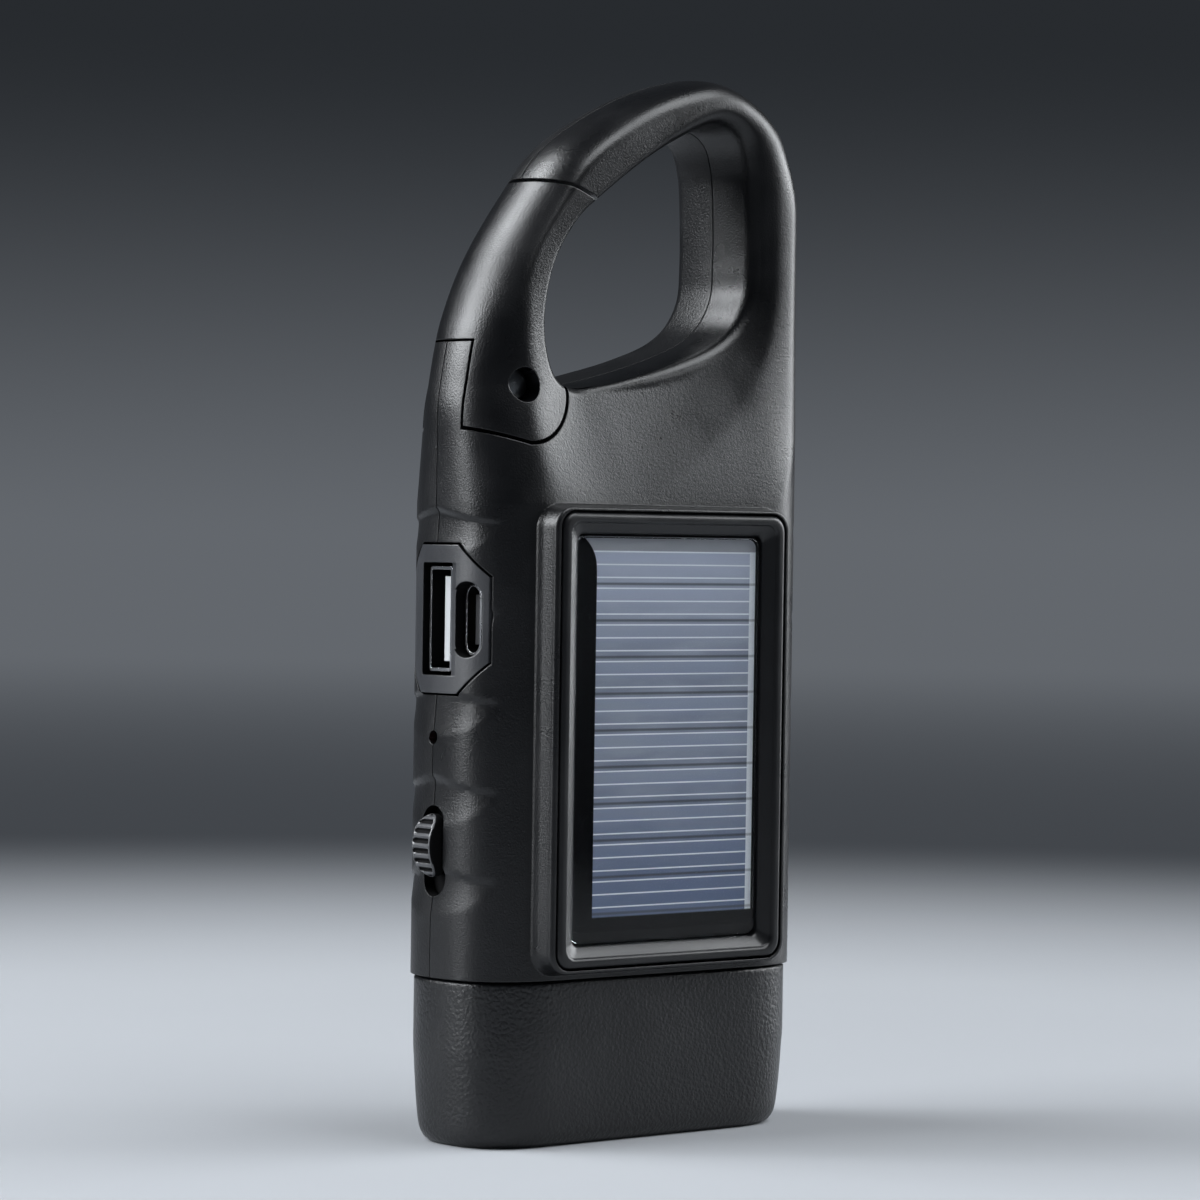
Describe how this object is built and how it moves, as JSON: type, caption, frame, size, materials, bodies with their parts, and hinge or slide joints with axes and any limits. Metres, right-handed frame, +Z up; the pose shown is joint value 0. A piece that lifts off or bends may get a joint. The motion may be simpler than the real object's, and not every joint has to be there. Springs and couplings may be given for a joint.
{
  "type": "hand crank flashlight",
  "caption": "Flat pocket flashlight with a sprung carrying hook, a front solar panel, side charging sockets, a light head at the foot and a folding crank on its back.",
  "frame": {"origin": "on the ground under the middle of the whole object's box", "axes": "+Z up from the light head to the hook, -Y towards the solar panel, +X to the right as the panel is seen"},
  "size_m": [0.0572, 0.0332, 0.1361],
  "materials": {
    "shell_black": "fine satin grain",
    "head_black": "leather-like grain",
    "bezel_black": "smooth satin",
    "trim_black": "semi-gloss",
    "steel": "bright",
    "dark_steel": "blackened",
    "copper": "enamelled wire",
    "white_plastic": "satin",
    "nylon": "satin",
    "board_green": "lacquered board",
    "cell_grey": "silicon",
    "clear": "clear moulded",
    "mirror": "metallised",
    "battery_film": "shrink film",
    "lamp_red": "tinted"
  },
  "bodies": {
    "housing": {"front_shell": "shell_black", "rear_shell": "shell_black", "gate_spring": "steel", "solar_bezel": "bezel_black", "solar_board": "board_green", "solar_cells": "cell_grey", "solar_cover": "clear", "port_plate": "trim_black", "usb_a_shell": "steel", "usb_a_tongue": "white_plastic", "usb_c_shell": "steel", "usb_c_tongue": "trim_black", "main_board": "board_green", "status_lamp": "lamp_red", "switch_housing": "trim_black", "battery_cell": "battery_film", "gear_plate": "steel", "hub_bush": "nylon", "idler_axle": "steel", "generator_can": "dark_steel", "generator_coil": "copper", "head_cap": "head_black", "led_board": "board_green", "reflector": "mirror", "head_lens": "clear", "lens_ring": "trim_black", "led_1": "clear", "led_2": "clear", "led_3": "clear", "shell_screw_1": "steel", "shell_screw_2": "steel", "shell_screw_3": "steel", "shell_screw_4": "steel", "shell_screw_5": "steel"},
    "gate": {"gate_arm": "shell_black", "gate_pin": "dark_steel"},
    "switch": {"switch_button": "trim_black"},
    "crank": {"crank_arm": "shell_black", "crank_shaft": "steel", "crank_screw": "steel", "drive_gear": "nylon", "knob_hinge_pin": "steel"},
    "idler": {"idler_gear": "nylon"},
    "rotor": {"rotor_gear": "steel", "rotor_magnet": "dark_steel"},
    "knob_stem": {"knob_stem": "dark_steel"},
    "knob": {"crank_knob": "head_black", "knob_cap": "head_black"}
  },
  "joints": [
    {"name": "gate_swing", "type": "hinge", "parent": "housing", "child": "gate", "pos_m": [-0.01951, -0.0024, 0.0952], "axis": [0, 1, 0], "range_deg": [0, 28], "stiffness_Nm_per_rad": 0.04},
    {"name": "switch_slide", "type": "slide", "parent": "housing", "child": "switch", "axis": [0, 0, 1], "range_m": [-0.0022, 0]},
    {"name": "crank_spin", "type": "hinge", "parent": "housing", "child": "crank", "pos_m": [0.00089, 0.0079, 0.046], "axis": [0, 1, 0], "continuous": true},
    {"name": "idler_spin", "type": "hinge", "parent": "housing", "child": "idler", "pos_m": [0.00964, 0.0035, 0.06116], "axis": [0, 1, 0], "continuous": true},
    {"name": "rotor_spin", "type": "hinge", "parent": "housing", "child": "rotor", "pos_m": [0.0129, 0.0005, 0.07333], "axis": [0, 1, 0], "continuous": true},
    {"name": "knob_fold", "type": "hinge", "parent": "crank", "child": "knob_stem", "pos_m": [0.00089, 0.0129, 0.084], "axis": [1, 0, 0], "range_deg": [0, 90]},
    {"name": "knob_spin", "type": "hinge", "parent": "knob_stem", "child": "knob", "pos_m": [0.00089, 0.0129, 0.073], "axis": [0, 0, 1], "continuous": true}
  ],
  "couplings": [
    {"joint": "idler_spin", "follows": "crank_spin", "ratio": -4},
    {"joint": "rotor_spin", "follows": "crank_spin", "ratio": 12.8}
  ]
}
